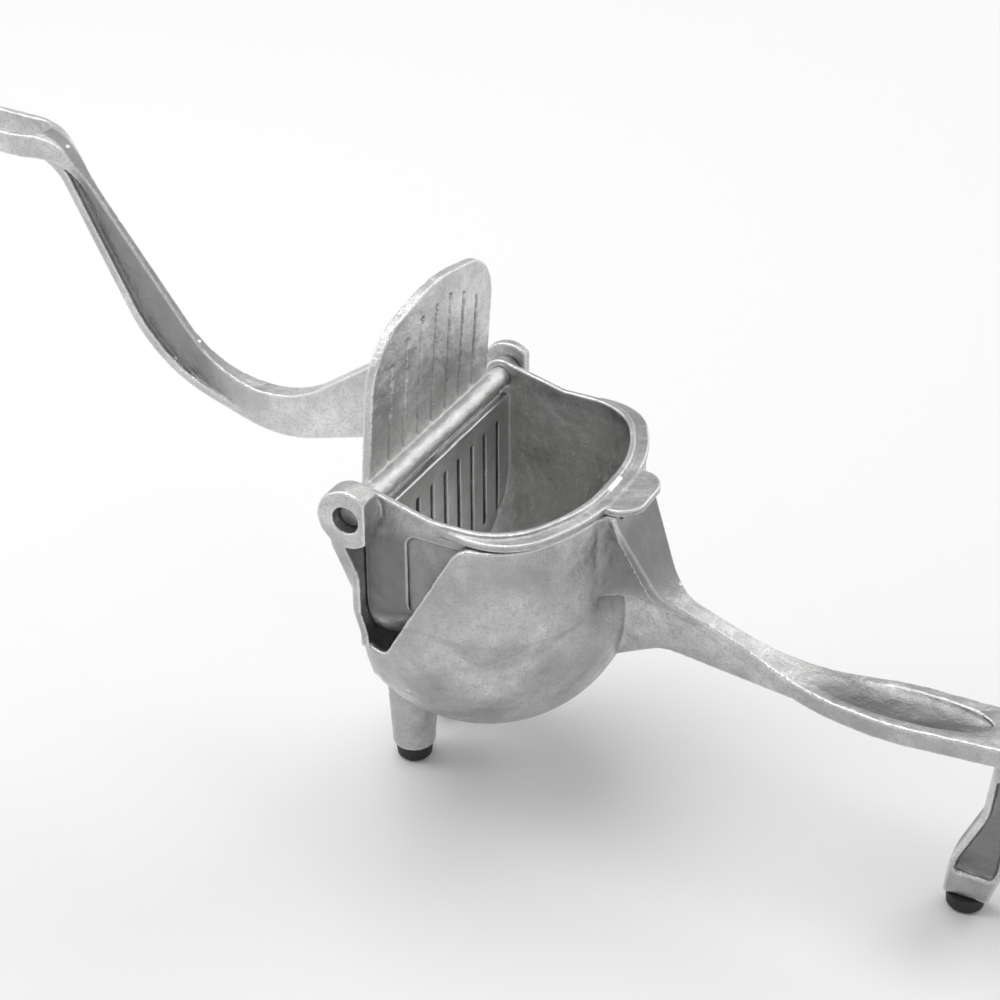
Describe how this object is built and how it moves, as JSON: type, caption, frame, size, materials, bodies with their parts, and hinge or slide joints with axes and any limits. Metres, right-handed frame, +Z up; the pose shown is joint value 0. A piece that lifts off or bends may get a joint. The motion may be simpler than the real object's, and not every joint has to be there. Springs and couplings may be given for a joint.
{
  "type": "hinged hand press juicer",
  "caption": "Cast aluminium hand press juicer: bowl with pour notches and ribbed handle, slotted strainer cup, and a hinged lever with a grooved press plate.",
  "frame": {"origin": "on the floor straight below the middle of the hinge axis", "axes": "+X along the lower handle, +Y along the hinge pin away from the camera side, +Z up"},
  "size_m": [0.389, 0.1065, 0.1881],
  "materials": {
    "cast_body": "tumbled satin sand casting with brighter rubbed edges",
    "cast_cup": "satin casting, smoother inside",
    "cast_lever": "satin casting, ground edges",
    "pin_steel": "plain turned steel",
    "foot_rubber": "matt black rubber"
  },
  "bodies": {
    "base": {"outer_body": "cast_body", "strainer_cup": "cast_cup", "hinge_pin": "pin_steel", "pin_clip": "pin_steel", "front_foot_near": "foot_rubber", "front_foot_far": "foot_rubber", "rear_foot": "foot_rubber"},
    "lever": {"press_lever": "cast_lever"}
  },
  "joints": [
    {"name": "lever_hinge", "type": "hinge", "parent": "base", "child": "lever", "pos_m": [0, 0, 0.1135], "axis": [0, 1, 0], "range_deg": [0, 163]}
  ]
}
